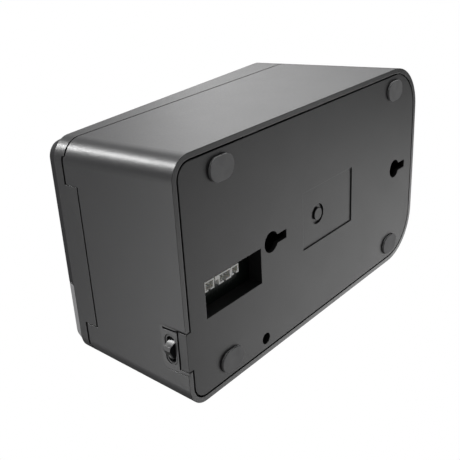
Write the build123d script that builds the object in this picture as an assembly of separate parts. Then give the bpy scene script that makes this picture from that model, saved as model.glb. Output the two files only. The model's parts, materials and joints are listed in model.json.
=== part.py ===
"""Small receipt printer of a point-of-sale till: housing, clamshell cover and print mechanism.

Frame: millimetres, +Z up, origin on the standing surface under the middle of the housing,
+X to the right seen from the front, front face towards -Y, rear face towards +Y.
"""
import os
from math import atan, cos, pi, sin, sqrt

from build123d import *

# ---- overall housing ----
LENGTH = 190.0
WIDTH = 107.5
FOOT_HEIGHT = 1.1
SEAM_REAR = 60.0        # height of the base/cover seam above the underside, at the rear
SEAM_FRONT = 72.5
EDGE_REAR = 66.5        # height of the cover's side wall above the underside, at the rear
EDGE_FRONT = 91.7
WALL = 2.35
COVER_WALL = 2.2
CORNER_REAR = 9.5
CORNER_FRONT = 24.7
FRONT_BOW = 0.8
SIDE_DRAFT = 0.045
FRONT_DRAFT = 0.03
SEAM_GAP = 0.8
LIP_HALF = 44.4         # the seam steps up over this half width at the rear
LIP_RISE = 1.3
LIP_GAP = 1.1
TOUCH_GAP = 0.3         # clearance between pieces that move past each other
SLIP = 0.05             # running clearance on a radius
HULL_TOP = 110.0

# ---- deck on the cover ----
DECK_RISE = 5.6
DECK_INSET = 0.4
DECK_BEVEL = 2.8
DECK_SKIN = 1.8
DECK_SPLIT_X = 16.5
DECK_SPLIT_GAP = 0.3

# ---- bottom plate ----
PLATE_THICK = 2.0
PLATE_GROOVE = 0.8
LEDGE_WIDTH = 2.6
LEDGE_THICK = 2.0
FOOT_SIDE_IN = 10.75    # foot centres in from the housing's sides, rear and front
FOOT_REAR_IN = 26.7
FOOT_FRONT_IN = 25.4
FOOT_WIDE = 10.2
FOOT_LONG = 14.2
FOOT_EDGE = 0.15
KEY_REAR_Y = 38.0
KEY_PITCH = 111.0
KEY_RADIUS = 4.85
KEY_SLOT = 4.1
KEY_REACH = 11.2
BAY_X0, BAY_X1 = 0.1, 16.7
BAY_REAR_IN = 13.0      # bay's rear edge in from the housing's rear
BAY_LONG = 36.4
COLLAR_WALL = 1.5
LABEL_HALF_X = 14.1
LABEL_Y0, LABEL_Y1 = -28.8, 13.6
LABEL_DEPTH = 0.5
MARK_RADIUS = 4.9       # round ejector recess in the label recess, with a boss in it
MARK_Y = 1.0
MARK_DEEP = 0.8
MARK_BOSS = 3.0
MARK_BOSS_SUNK = 0.1    # top of the boss below the underside
SIDE_HOLE_SIDE_IN = 8.2
SIDE_HOLE_REAR_IN = 50.9
SIDE_HOLE_RADIUS = 2.7
SIDE_HOLE_DEEP = 6.0
SNAP_LONG = 9.0
SNAP_Y = (44.0, -2.0, -48.0)

# ---- plate screws ----
SCREW_RADIUS = 1.5
SCREW_HEAD_RADIUS = 2.8
SCREW_HEAD_DEEP = 2.0
SCREW_LONG = 10.0
BOSS_RADIUS = 3.6
BOSS_RISE = 16.0        # top of the screw bosses above the underside

# ---- cover hinge ----
TONGUE_HALF = 32.5
TONGUE_GAP = 0.3
TONGUE_FOOT = 54.4      # lower edge of the tongue above the underside
KNUCKLE_RADIUS = 2.3
KNUCKLE_SKIN = 0.1      # distance of the knuckle inside the rear face
HINGE_CLEAR = 0.55      # added to the reach of the knuckle corner as it turns
PIN_RADIUS = 1.2
PIN_LONG = 14.0
PIN_PRESS_GAP = 0.02
EAR_WIDE = 5.0
EAR_DEEP = 4.2

# ---- power switch ----
POCKET_X0, POCKET_X1 = 16.6, 37.4
POCKET_TOP = 13.8
POCKET_DEEP = 0.4       # switch face and tab inside the rear face
POCKET_SLOPE = 0.65     # depth of the sloping floor at its foot
SLIT_X0, SLIT_WIDE = 17.9, 0.8
SLIT_TOP = 12.5
SLIT_DEEP = 2.0
POCKET_CORNER = 3.0
POCKET_BACKING = 2.4
TAB_X0, TAB_X1 = 17.9, 35.3
TAB_TOP = 4.3
TAB_GAP = 0.8
SWITCH_X = 27.5
SWITCH_Z = 8.9
SWITCH_LONG = 14.0
SWITCH_HIGH = 6.0
SWITCH_DEEP = 9.0
SWITCH_WALL = 0.9
ROCKER_TILT = 14.0
ROCKER_RIDGE = 2.7
ROCKER_DISH = 0.5       # hollow of the raised half
ROCKER_PIVOT = 3.6      # pivot behind the pocket floor
ROCKER_END = 0.9        # rocker's ends behind the pocket floor, level
ROCKER_END_GAP = 0.9
ROCKER_FOOT = 1.8

# ---- front controls ----
PANEL_X0, PANEL_X1 = 11.0, 40.0
PANEL_LOW, PANEL_HIGH = 1.0, 54.0
PANEL_PROUD = 0.6
PANEL_SUNK = 0.8
BUTTON_X = 20.5
BUTTON_RISE = 32.0
BUTTON_RADIUS = 5.0
BUTTON_FLANGE = 6.2
BUTTON_TRAVEL = 0.8
LENS_X = (14.5, 20.5, 26.5)
LENS_RISE = 44.0
LENS_RADIUS = 1.3
BUTTON_BOARD_IN = 10.6  # button board behind the front of the housing
BOARD_THICK = 1.6

# ---- print mechanism ----
PLATEN_IN = 20.5        # platen axis behind the front of the housing
PLATEN_RISE = 6.2511    # platen axis above the seam
PLATEN_RADIUS = 5.0
PLATEN_SHAFT = 2.5
PAPER_WIDE = 58.0
PAPER_SLOT = 5.6        # top of the exit slot above the seam
ARM_GAP = 1.2           # between the roller's ends and the arms
ARM_THICK = 3.0
ARM_HALF = 6.5
BUSH_RADIUS = 3.8
FRAME_GAP = 1.4         # between the arms and the mechanism's side plates
FRAME_THICK = 2.0
FRAME_AHEAD, FRAME_BEHIND = 5.5, 27.5
SHELF_DROP = 35.5       # shelf below the platen axis
SHELF_THICK = 2.0
FRAME_FLOOR = 2.0
WEB_DROP = 10.2         # web below the print head
WEB_THICK = 2.0
HEAD_GAP = 0.3
HEAD_STRIP = 0.8
HEAD_THICK = 3.2
HEAD_AHEAD, HEAD_BEHIND = 6.5, 11.5
HEAD_PIN_BEHIND = 14.0
HEAD_PIN_RISE = 1.6
HEAD_PIN_RADIUS = 1.5
HEAD_EAR = 3.0
SPRING_X = 20.0
SPRING_AHEAD = 0.5
SPRING_RADIUS = 2.6
SPRING_WIRE = 0.4
SPRING_TURNS = 5

# ---- gear train ----
MODULE = 0.8
PLATEN_TEETH = 16
IDLER_TEETH = 20
PINION_TEETH = 10
GEAR_CLEAR = 1.4        # between the side plate and the gears
GEAR_WIDE = 3.5
GEAR_GAP = 0.2          # added to each centre distance
IDLER_TURN = 51.8       # direction from platen to idler, below the +Y axis
PINION_TURN = 68.0      # direction from idler to motor, below the +Y axis
MOTOR_RADIUS = 8.4
MOTOR_LONG = 17.0
MOTOR_SHAFT = 1.0
STUD_RADIUS = 1.5

# ---- paper bucket ----
BUCKET_Y = -5.0
BUCKET_RISE = 36.0
BUCKET_RADIUS = 26.0
BUCKET_WALL = 1.6
BUCKET_SIDE_GAP = 0.75
FLANGE_RISE = 54.0
FLANGE_THICK = 2.0
FLANGE_SIDE_GAP = 1.72
FLANGE_AHEAD, FLANGE_BEHIND = 37.0, 59.0
SUPPORT_REACH = 7.0
SMALL_SCREW = 1.25
SMALL_HEAD = 2.4

# ---- electronics ----
BOARD_RISE = 7.3        # underside of the boards above the underside of the plate
BOARD_X0, BOARD_X1 = -36.0, 34.0
BOARD_REAR_IN = 15.4
BOARD_LONG = 35.6
PORT_SIDE_GAP = 1.6215  # between the port board and the side wall
PORT_WIDE = 16.2
PORT_Y0, PORT_Y1 = -23.0, 38.5
STANDOFF_RADIUS = 2.8
HEADER_SIDE_IN = 1.3    # headers' left faces in from the bay's left edge
HEADER_HIGH = 6.0
HEADER_PITCH = 2.0
HEADERS = [(4.1, 5.9, 4.5), (13.7, 7.9, 4.5), (20.2, 4.8, 4.0)]     # place, length, width
LUG_LONG, LUG_WIDE = 2.0, 1.9
HEADER_WALL = 0.7
RIBBON_X0, RIBBON_X1 = -22.0, -10.0
RIBBON_RISE = 5.2
RIBBON_THICK = 0.4
PORTS = {               # middle along Y, width, height
    "power_socket": (26.0, 9.0, 11.0),
    "usb_socket": (9.0, 12.2, 11.0),
    "drawer_socket": (-9.0, 13.2, 12.0),
}
DECK_PEGS = [(-38.0, 70.0), (-38.0, -60.0), (8.0, 5.0), (34.0, 70.0), (34.0, -60.0)]
POST_IN = 4.0           # screw posts in from the edges of the boards
FRAME_SCREW_IN = 6.6    # frame screws in from the side plates

# ---- worked out: housing ----
BASE_Z = FOOT_HEIGHT
PLATE_TOP = BASE_Z + PLATE_THICK
BOSS_TOP = BASE_Z + BOSS_RISE
PANEL_Z0, PANEL_Z1 = BASE_Z + PANEL_LOW, BASE_Z + PANEL_HIGH
BUTTON_Z = BASE_Z + BUTTON_RISE
LENS_Z = BASE_Z + LENS_RISE
BUCKET_Z = BASE_Z + BUCKET_RISE
FLANGE_Z = BASE_Z + FLANGE_RISE
BOARD_Z = BASE_Z + BOARD_RISE
RIBBON_Z = BASE_Z + RIBBON_RISE
LIP_LOW = BASE_Z + SEAM_REAR + LIP_RISE - LIP_GAP / 2
LIP_HIGH = LIP_LOW + LIP_GAP
HALF = LENGTH / 2
PLATE_INSET = WALL + PLATE_GROOVE
FOOT_X = WIDTH / 2 - FOOT_SIDE_IN
FOOT_REAR_Y = HALF - FOOT_REAR_IN
FOOT_FRONT_Y = -HALF + FOOT_FRONT_IN
BAY_Y1 = HALF - BAY_REAR_IN
BAY_Y0 = BAY_Y1 - BAY_LONG
SIDE_HOLE_X = WIDTH / 2 - SIDE_HOLE_SIDE_IN
SIDE_HOLE_Y = HALF - SIDE_HOLE_REAR_IN
SIDE_TUBE = SIDE_HOLE_RADIUS + COLLAR_WALL
BUTTON_BOARD_Y = -HALF + BUTTON_BOARD_IN
HINGE_Y = HALF - KNUCKLE_RADIUS - KNUCKLE_SKIN
HINGE_Z = BASE_Z + TONGUE_FOOT + KNUCKLE_RADIUS
DECK_SLOPE = (EDGE_FRONT - EDGE_REAR) / LENGTH
DECK_ANGLE = atan(DECK_SLOPE)
POCKET_FLOOR = HALF - POCKET_DEEP
SWITCH_MID = BASE_Z + SWITCH_Z
KEY_Y = (KEY_REAR_Y, KEY_REAR_Y - KEY_PITCH)
FEET = {
    "foot_rear_left": (-FOOT_X, FOOT_REAR_Y),
    "foot_rear_right": (FOOT_X, FOOT_REAR_Y),
    "foot_front_left": (-FOOT_X, FOOT_FRONT_Y),
    "foot_front_right": (FOOT_X, FOOT_FRONT_Y),
}


def seam_z(y):
    return BASE_Z + SEAM_REAR + (SEAM_FRONT - SEAM_REAR) * (HALF - y) / LENGTH


def edge_z(y):
    return BASE_Z + EDGE_REAR + (EDGE_FRONT - EDGE_REAR) * (HALF - y) / LENGTH


def inner_half(z):
    """Half of the clear width between the base's side walls."""
    return WIDTH / 2 - SIDE_DRAFT * (z - BASE_Z) - WALL


# ---- worked out: mechanism ----
PLATEN_Y = -HALF + PLATEN_IN
PLATEN_Z = seam_z(PLATEN_Y) + PLATEN_RISE
ARM_X0 = PAPER_WIDE / 2 + ARM_GAP
FRAME_X0 = ARM_X0 + ARM_THICK + FRAME_GAP
FRAME_Y0, FRAME_Y1 = PLATEN_Y - FRAME_AHEAD, PLATEN_Y + FRAME_BEHIND
SHELF_Z = PLATEN_Z - SHELF_DROP
FRAME_Z0 = SHELF_Z + SHELF_THICK
HEAD_TOP = PLATEN_Z - PLATEN_RADIUS - HEAD_GAP
HEAD_UNDER = HEAD_TOP - HEAD_STRIP - HEAD_THICK
HEAD_Y0, HEAD_Y1 = PLATEN_Y - HEAD_AHEAD, PLATEN_Y + HEAD_BEHIND
HEAD_PIN_Y, HEAD_PIN_Z = PLATEN_Y + HEAD_PIN_BEHIND, HEAD_UNDER + HEAD_PIN_RISE
SPRING_Y = PLATEN_Y - SPRING_AHEAD
WEB_Z = HEAD_UNDER - WEB_DROP
GEAR_X0 = -FRAME_X0 - FRAME_THICK - GEAR_CLEAR - GEAR_WIDE
FLANGE_HALF = inner_half(FLANGE_Z) - FLANGE_SIDE_GAP
FLANGE_Y0, FLANGE_Y1 = BUCKET_Y - FLANGE_AHEAD, BUCKET_Y + FLANGE_BEHIND

# ---- worked out: electronics ----
BOARD_Y1 = HALF - BOARD_REAR_IN
BOARD_Y0 = BOARD_Y1 - BOARD_LONG
PORT_X1 = inner_half(BOARD_Z) - PORT_SIDE_GAP
PORT_X0 = PORT_X1 - PORT_WIDE
HEADER_X = BAY_X0 + HEADER_SIDE_IN
MAIN_POSTS = [(x, y) for x in (BOARD_X0 + POST_IN, BOARD_X1 - 2 * POST_IN)
              for y in (BOARD_Y0 + POST_IN, BOARD_Y1 - POST_IN)]
PORT_POSTS = [(PORT_X0 + POST_IN, y) for y in (PORT_Y0 + POST_IN, PORT_Y1 - POST_IN)]
FRAME_SCREWS = [(x, y) for x in (FRAME_SCREW_IN - FRAME_X0, FRAME_X0 - FRAME_SCREW_IN)
                for y in (FRAME_Y1 - 6, FRAME_Y0 + 10)]
BUTTON_BOARD_POSTS = [(BUTTON_X - 9, BUTTON_Z - 9), (BUTTON_X + 8, BUTTON_Z - 9)]


def pitch_radius(teeth):
    return MODULE * teeth / 2


def step_point(start, distance, below):
    """Point at a distance from start, at an angle below the +Y direction."""
    turn = below * pi / 180
    return start[0] + distance * cos(turn), start[1] - distance * sin(turn)


PLATEN_AXIS = (PLATEN_Y, PLATEN_Z)
PLATEN_TO_IDLER = pitch_radius(PLATEN_TEETH) + pitch_radius(IDLER_TEETH) + GEAR_GAP
IDLER_TO_PINION = pitch_radius(IDLER_TEETH) + pitch_radius(PINION_TEETH) + GEAR_GAP
IDLER_AXIS = step_point(PLATEN_AXIS, PLATEN_TO_IDLER, IDLER_TURN)
MOTOR_AXIS = step_point(IDLER_AXIS, IDLER_TO_PINION, PINION_TURN)
REACH = LENGTH          # larger than any cut needs


# ---- shapes shared by the sub-parts ----
def box(x0, x1, y0, y1, z0, z1):
    middle = Pos((x0 + x1) / 2, (y0 + y1) / 2, (z0 + z1) / 2)
    return middle * Box(x1 - x0, y1 - y0, z1 - z0)


def rod_x(x0, x1, y, z, radius):
    start = align_min()
    return Pos(x0, y, z) * Rot(0, 90, 0) * Cylinder(radius, x1 - x0, align=start)


def rod_y(x, y0, y1, z, radius):
    start = align_min()
    return Pos(x, y0, z) * Rot(-90, 0, 0) * Cylinder(radius, y1 - y0, align=start)


def rod_z(x, y, z0, z1, radius):
    return Pos(x, y, z0) * Cylinder(radius, z1 - z0, align=align_min())


def align_min():
    return (Align.CENTER, Align.CENTER, Align.MIN)


def prism_x(points, x0, x1):
    """Solid with a Y-Z outline, between two X values."""
    face = make_face(Polyline(*points, close=True))
    return extrude(Plane.YZ.offset(x0) * face, x1 - x0)


def slice_between(lower, upper):
    """Everything between two heights that are functions of Y."""
    points = [(-REACH, lower(-REACH)), (REACH, lower(REACH))]
    points += [(REACH, upper(REACH)), (-REACH, upper(-REACH))]
    return prism_x(points, -REACH, REACH)


def outline(half_rear, half_front, y_rear, y_front, r_rear, r_front):
    """Housing plan: straight sides, four rounded corners, slightly bowed front."""
    bow = ThreePointArc((half_front, y_front), (0, y_front - FRONT_BOW), (-half_front, y_front))
    edges = Line((-half_rear, y_rear), (half_rear, y_rear))
    edges += Line((half_rear, y_rear), (half_front, y_front))
    edges += bow
    edges += Line((-half_front, y_front), (-half_rear, y_rear))
    plan = make_face(edges)
    plan = fillet(plan.vertices().sort_by(Axis.Y)[-2:], r_rear)
    return fillet(plan.vertices().sort_by(Axis.Y)[:2], r_front)


def outline_at(z, inset):
    rise = z - BASE_Z
    half = WIDTH / 2 - SIDE_DRAFT * rise - inset
    y_front = -HALF + FRONT_BOW + FRONT_DRAFT * rise + inset
    plan = outline(half, half, HALF - inset, y_front, CORNER_REAR - inset, CORNER_FRONT - inset)
    return Pos(0, 0, z) * plan


def hull(inset, z0=BASE_Z, z1=HULL_TOP):
    """The drafted housing volume, drawn in by an inset from the outer surface."""
    return loft([outline_at(z0, inset), outline_at(z1, inset)], ruled=True)


def stadium(long_x, wide, height):
    return extrude(SlotOverall(long_x, wide), height)


def gear(teeth, length, bore, phase=0.0):
    """Spur gear along +X with straight-sided teeth."""
    rp = pitch_radius(teeth)
    root = rp - 1.2 * MODULE
    tip = rp + 0.8 * MODULE
    pitch_angle = 2 * pi / teeth
    disc = Circle(root)
    for index in range(teeth):
        middle = index * pitch_angle + phase
        flank = [(root * 0.97, -0.29), (tip, -0.11), (tip, 0.11), (root * 0.97, 0.29)]
        points = []
        for radius, share in flank:
            turn = middle + share * pitch_angle
            points.append((radius * cos(turn), radius * sin(turn)))
        disc += make_face(Polyline(*points, close=True))
    disc -= Circle(bore)
    return extrude(Plane.YZ * disc, length)


def at_axis(part, x, axis):
    return Pos(x, axis[0], axis[1]) * part


# ---- bottom plate and feet ----
def plate_blank():
    blank = hull(PLATE_INSET, BASE_Z, PLATE_TOP)
    for x, y in FEET.values():
        blank += rod_z(x, y, PLATE_TOP, PLATE_TOP + PLATE_THICK, SCREW_HEAD_RADIUS + COLLAR_WALL)
    return blank


def plate_tab():
    """Tab that fills the foot of the switch pocket, with an upturned strip."""
    tab_rear = POCKET_FLOOR
    flat = box(TAB_X0, TAB_X1, HALF - PLATE_INSET - 2, tab_rear, BASE_Z, PLATE_TOP)
    strip = box(TAB_X0, TAB_X1, tab_rear - PLATE_THICK, tab_rear, BASE_Z, BASE_Z + TAB_TOP)
    return flat + strip


def keyhole_cut(y):
    cut = rod_z(0, y, BASE_Z - 1, PLATE_TOP + 1, KEY_RADIUS)
    half = KEY_SLOT / 2
    return cut + box(-half, half, y - KEY_REACH, y, BASE_Z - 1, PLATE_TOP + 1)


def bay_collar():
    outer = box(BAY_X0 - COLLAR_WALL, BAY_X1 + COLLAR_WALL, BAY_Y0 - COLLAR_WALL,
                BAY_Y1 + COLLAR_WALL, PLATE_TOP, BOARD_Z - TOUCH_GAP)
    rear_cut = box(BAY_X0 - 2 * COLLAR_WALL, BAY_X1 + 2 * COLLAR_WALL, BOARD_Y1 - 1,
                   BAY_Y1 + 2 * COLLAR_WALL, PLATE_TOP + 3.5, BOARD_Z)
    return outer - rear_cut


def board_posts():
    posts = []
    for x, y in MAIN_POSTS + PORT_POSTS:
        posts.append(rod_z(x, y, PLATE_TOP, BOARD_Z, STANDOFF_RADIUS))
    return posts


def label_cut():
    """Shallow label recess, with a round recess in it that has a low boss."""
    floor = BASE_Z + LABEL_DEPTH
    cut = box(-LABEL_HALF_X, LABEL_HALF_X, LABEL_Y0, LABEL_Y1, BASE_Z - 1, floor)
    cut += rod_z(0, MARK_Y, BASE_Z, floor + MARK_DEEP, MARK_RADIUS)
    return cut - rod_z(0, MARK_Y, BASE_Z + MARK_BOSS_SUNK, floor + MARK_DEEP, MARK_BOSS)


def snap_tabs():
    """Low tongues that bridge the groove along the left edge and click over the rim."""
    tabs = []
    for y in SNAP_Y:
        edge = -(WIDTH / 2 - PLATE_INSET)
        low = BASE_Z + 0.6
        tabs.append(box(edge - PLATE_GROOVE + 0.1, edge + 3, y, y + SNAP_LONG, low, PLATE_TOP))
    return tabs


def bottom_plate():
    plate = plate_blank() + plate_tab() + bay_collar()
    plate += rod_z(SIDE_HOLE_X, SIDE_HOLE_Y, PLATE_TOP, BASE_Z + SIDE_HOLE_DEEP, SIDE_TUBE)
    plate += board_posts()
    plate += snap_tabs()
    for y in KEY_Y:
        plate -= keyhole_cut(y)
    plate -= box(BAY_X0, BAY_X1, BAY_Y0, BAY_Y1, BASE_Z - 1, BOARD_Z + 1)
    plate -= label_cut()
    plate -= rod_z(SIDE_HOLE_X, SIDE_HOLE_Y, BASE_Z - 1, BASE_Z + SIDE_HOLE_DEEP + 1, SIDE_HOLE_RADIUS)
    for x, y in FEET.values():
        plate -= rod_z(x, y, BASE_Z - 1, BASE_Z + SCREW_HEAD_DEEP + 0.2, SCREW_HEAD_RADIUS + 0.2)
        plate -= rod_z(x, y, BASE_Z, BOSS_TOP, SCREW_RADIUS + 0.2)
    for x, y in MAIN_POSTS + PORT_POSTS:
        plate -= rod_z(x, y, PLATE_TOP, BOARD_Z + 1, SMALL_SCREW + PIN_PRESS_GAP)
    return plate


def foot(x, y):
    pad = Rot(0, 0, 90) * stadium(FOOT_LONG, FOOT_WIDE, FOOT_HEIGHT)
    pad = chamfer(pad.edges().group_by(Axis.Z)[0], FOOT_EDGE)
    return Pos(x, y, 0) * pad


def plate_screws():
    screws = []
    for x, y in FEET.values():
        head_z = BASE_Z + 0.1
        head = rod_z(x, y, head_z, head_z + SCREW_HEAD_DEEP, SCREW_HEAD_RADIUS)
        recess = Pos(x, y, head_z) * extrude(RegularPolygon(1.3, 6), 1.0)
        shank = rod_z(x, y, head_z + SCREW_HEAD_DEEP, head_z + SCREW_LONG, SCREW_RADIUS)
        screws.append(head - recess + shank)
    return screws


# ---- base shell ----
def under_seam(part):
    return part & slice_between(lambda y: -1.0, lambda y: seam_z(y) - SEAM_GAP / 2)


def base_walls():
    walls = hull(0) - hull(WALL, BASE_Z - 1)
    lip = walls & box(-LIP_HALF, LIP_HALF, 0, REACH, HINGE_Z, LIP_LOW)
    return under_seam(walls) + lip


def plate_ledge():
    z0 = PLATE_TOP
    ring = hull(WALL - 0.2, z0, z0 + LEDGE_THICK) - hull(WALL + LEDGE_WIDTH, z0 - 1, z0 + 3)
    ring -= box(TAB_X0 - TAB_GAP, TAB_X1 + TAB_GAP, HALF - 8, HALF + 1, z0 - 1, z0 + 3)
    reach = SIDE_TUBE + TOUCH_GAP
    notch = box(SIDE_HOLE_X - reach, SIDE_HOLE_X + reach, SIDE_HOLE_Y - reach, SIDE_HOLE_Y + reach,
                z0 - 1, z0 + 3)
    return ring - notch


def screw_bosses():
    bosses = []
    for x, y in FEET.values():
        side = 1 if x > 0 else -1
        z0 = PLATE_TOP + PLATE_THICK
        rib_end = side * (WIDTH / 2 - WALL)
        boss = rod_z(x, y, z0, BOSS_TOP, BOSS_RADIUS)
        boss += box(min(x, rib_end), max(x, rib_end), y - 1, y + 1, z0 + 1, BOSS_TOP)
        bosses.append(boss)
    return bosses


def mech_shelf():
    z1 = SHELF_Z + SHELF_THICK
    shelf = box(-WIDTH / 2, WIDTH / 2, FRAME_Y0 + 1, FRAME_Y1 + 2, SHELF_Z, z1)
    shelf -= box(RIBBON_X0 - 2, RIBBON_X1 + 2, FRAME_Y1 - 12, FRAME_Y1 - 5, SHELF_Z - 1, z1 + 1)
    return shelf


def bucket_supports():
    pads = []
    inner = inner_half(FLANGE_Z)
    for side in (-1, 1):
        x0 = side * (inner - SUPPORT_REACH)
        x1 = side * (inner + 1)
        lo, hi = min(x0, x1), max(x0, x1)
        for y in (FLANGE_Y0 + 6, FLANGE_Y1 - 6):
            pads.append(box(lo, hi, y - 6, y + 6, FLANGE_Z - 8, FLANGE_Z))
    return pads


def hinge_ears():
    ears = []
    for side in (-1, 1):
        x0 = side * (TONGUE_HALF + TONGUE_GAP)
        x1 = x0 + side * EAR_WIDE
        lo, hi = min(x0, x1), max(x0, x1)
        ears.append(box(lo, hi, HINGE_Y - EAR_DEEP, HALF - WALL / 2, HINGE_Z - 5, HINGE_Z + 2.8))
    return ears


def hinge_notch():
    """Room for the tongue, and for its lower corner as the cover swings."""
    edge = TONGUE_HALF + TONGUE_GAP
    sweep = sqrt((HALF - HINGE_Y) ** 2 + KNUCKLE_RADIUS ** 2) + HINGE_CLEAR
    above = box(-edge, edge, HALF - 12, HALF + 1, HINGE_Z, HINGE_Z + 20)
    return above + rod_x(-edge, edge, HINGE_Y, HINGE_Z, sweep)


def pocket_floor_cut():
    """Pocket whose floor slopes in towards the underside, ramped at its left side."""
    top = BASE_Z + POCKET_TOP
    depth = HALF - POCKET_SLOPE
    slope = [(depth, BASE_Z - 1), (HALF, top), (HALF + 1, top), (HALF + 1, BASE_Z - 1)]
    wedge = prism_x(slope, POCKET_X0, POCKET_X1)
    plan = [(POCKET_X0, HALF), (SLIT_X0, depth), (POCKET_X1, depth), (POCKET_X1, HALF + 1)]
    ramp = make_face(Polyline(*plan, (POCKET_X0, HALF + 1), close=True))
    ramp = Pos(0, 0, BASE_Z - 1) * extrude(ramp, POCKET_TOP + 2)
    room = box(POCKET_X0, POCKET_X1, HALF - 2, HALF + 1, BASE_Z - 1, top)
    corner = room.edges().filter_by(Axis.Y).group_by(Axis.Z)[-1].sort_by(Axis.X)[-1]
    return wedge & ramp & fillet(corner, POCKET_CORNER)


def switch_pocket_cut():
    """Sloping pocket, the slit at its left, the tab's seat and the switch opening."""
    tab_gap_top = BASE_Z + TAB_TOP + TAB_GAP
    cut = pocket_floor_cut()
    cut += box(TAB_X0 - 0.5, TAB_X1 + 0.5, HALF - 10, HALF + 1, BASE_Z - 1, tab_gap_top)
    cut += box(SLIT_X0, SLIT_X0 + SLIT_WIDE, HALF - SLIT_DEEP, HALF + 1, BASE_Z, BASE_Z + SLIT_TOP)
    hole = Plane.XZ.offset(-HALF - 1) * Pos(SWITCH_X, SWITCH_MID) * SlotOverall(SWITCH_LONG, SWITCH_HIGH)
    return cut + extrude(hole, 12)


def switch_backing():
    z0 = BASE_Z + TAB_TOP + TAB_GAP
    y0 = POCKET_FLOOR - POCKET_BACKING
    return box(POCKET_X0 - 3, POCKET_X1 + 3, y0, HALF - 0.5, z0, BASE_Z + POCKET_TOP + 3)


def port_cuts():
    cuts = []
    for y, wide, high in PORTS.values():
        z0 = BOARD_Z + BOARD_THICK
        cuts.append(box(PORT_X1, REACH, y - wide / 2 - 0.4, y + wide / 2 + 0.4, z0 - 0.4, z0 + high + 0.4))
    return cuts


def panel_region(clear):
    return box(PANEL_X0 - clear, PANEL_X1 + clear, -REACH, -HALF / 2, PANEL_Z0 - clear, PANEL_Z1 + clear)


def control_holes(clear):
    front = -HALF - 5
    cut = rod_y(BUTTON_X, front, -HALF + 12, BUTTON_Z, BUTTON_RADIUS + TOUCH_GAP)
    for x in LENS_X:
        cut += rod_y(x, front, -HALF + 12, LENS_Z, LENS_RADIUS + clear)
    return cut


def button_posts():
    posts = []
    for x, z in BUTTON_BOARD_POSTS:
        post = rod_y(x, -HALF + 2, BUTTON_BOARD_Y, z, 2.2)
        posts.append(post - rod_y(x, BUTTON_BOARD_Y - 4, BUTTON_BOARD_Y + 1, z, SMALL_SCREW + PIN_PRESS_GAP))
    return posts


def base_fittings():
    """Everything that stands inside the base walls."""
    inside = hull(WALL - 0.4)
    fittings = [mech_shelf()] + screw_bosses() + bucket_supports() + hinge_ears()
    fittings += button_posts() + [switch_backing()]
    joined = fittings[0]
    for piece in fittings[1:]:
        joined += piece
    return under_seam(joined & inside)


def base_screw_holes():
    holes = []
    for x, y in FEET.values():
        holes.append(rod_z(x, y, BASE_Z, BASE_Z + 0.1 + SCREW_LONG + 1, SCREW_RADIUS + PIN_PRESS_GAP))
    for x, y in bucket_screw_places():
        holes.append(rod_z(x, y, FLANGE_Z - 7, FLANGE_Z + 1, SMALL_SCREW + PIN_PRESS_GAP))
    for x, y in FRAME_SCREWS:
        holes.append(rod_z(x, y, SHELF_Z - 1, FRAME_Z0 + 1, SMALL_SCREW + PIN_PRESS_GAP))
    return holes


def hinge_bores(clear):
    bores = []
    for side in (-1, 1):
        x0 = side * (TONGUE_HALF + TONGUE_GAP + EAR_WIDE)
        x1 = x0 - side * (PIN_LONG + 0.5)
        bores.append(rod_x(min(x0, x1), max(x0, x1), HINGE_Y, HINGE_Z, PIN_RADIUS + clear))
    return bores


def base_shell():
    shell = base_walls() + plate_ledge() + base_fittings()
    shell -= hinge_notch()
    shell -= switch_pocket_cut()
    recess = (hull(-2) - hull(PANEL_SUNK)) & panel_region(0.15)
    shell -= recess
    shell -= control_holes(TOUCH_GAP)
    shell -= port_cuts()
    shell -= base_screw_holes()
    shell -= hinge_bores(PIN_PRESS_GAP)
    return shell


def hinge_pin(side):
    x0 = side * (TONGUE_HALF + TONGUE_GAP + EAR_WIDE)
    x1 = x0 - side * PIN_LONG
    return rod_x(min(x0, x1), max(x0, x1), HINGE_Y, HINGE_Z, PIN_RADIUS)


# ---- front controls ----
def front_panel():
    panel = (hull(-PANEL_PROUD) - hull(PANEL_SUNK)) & panel_region(0)
    return panel - control_holes(0.1)


def front_surface(z):
    """Y of the outer housing surface at the front, near the middle."""
    return -HALF + FRONT_DRAFT * (z - BASE_Z)


def feed_button():
    face = front_surface(BUTTON_Z) - PANEL_PROUD
    inner = front_surface(BUTTON_Z) + WALL + FRONT_BOW + TOUCH_GAP
    cap = rod_y(BUTTON_X, face, inner + 0.2, BUTTON_Z, BUTTON_RADIUS)
    dish = Pos(BUTTON_X, face - 29.3, BUTTON_Z) * Sphere(29.8)
    cap -= dish
    cap += rod_y(BUTTON_X, inner, inner + 1.2, BUTTON_Z, BUTTON_FLANGE)
    return cap + rod_y(BUTTON_X, inner + 1.2, BUTTON_BOARD_Y - 3.2 - BUTTON_TRAVEL - 0.2, BUTTON_Z, 2.0)


def status_lenses():
    lenses = []
    for x in LENS_X:
        start = front_surface(LENS_Z) - PANEL_PROUD + 0.3
        lens = rod_y(x, start, BUTTON_BOARD_Y - 1.8, LENS_Z, LENS_RADIUS)
        lenses.append(lens)
    return lenses


def button_board():
    x0, x1 = BUTTON_X - 12, BUTTON_X + 12
    board = box(x0, x1, BUTTON_BOARD_Y, BUTTON_BOARD_Y + BOARD_THICK, BUTTON_Z - 12, LENS_Z + 6)
    for x, z in BUTTON_BOARD_POSTS:
        board -= rod_y(x, BUTTON_BOARD_Y - 1, BUTTON_BOARD_Y + 4, z, SMALL_SCREW + 0.2)
    return board


def tact_switch():
    y = BUTTON_BOARD_Y
    body = box(BUTTON_X - 3, BUTTON_X + 3, y - 2.4, y, BUTTON_Z - 3, BUTTON_Z + 3)
    return body + rod_y(BUTTON_X, y - 3.2, y - 2.4, BUTTON_Z, 1.7)


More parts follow.
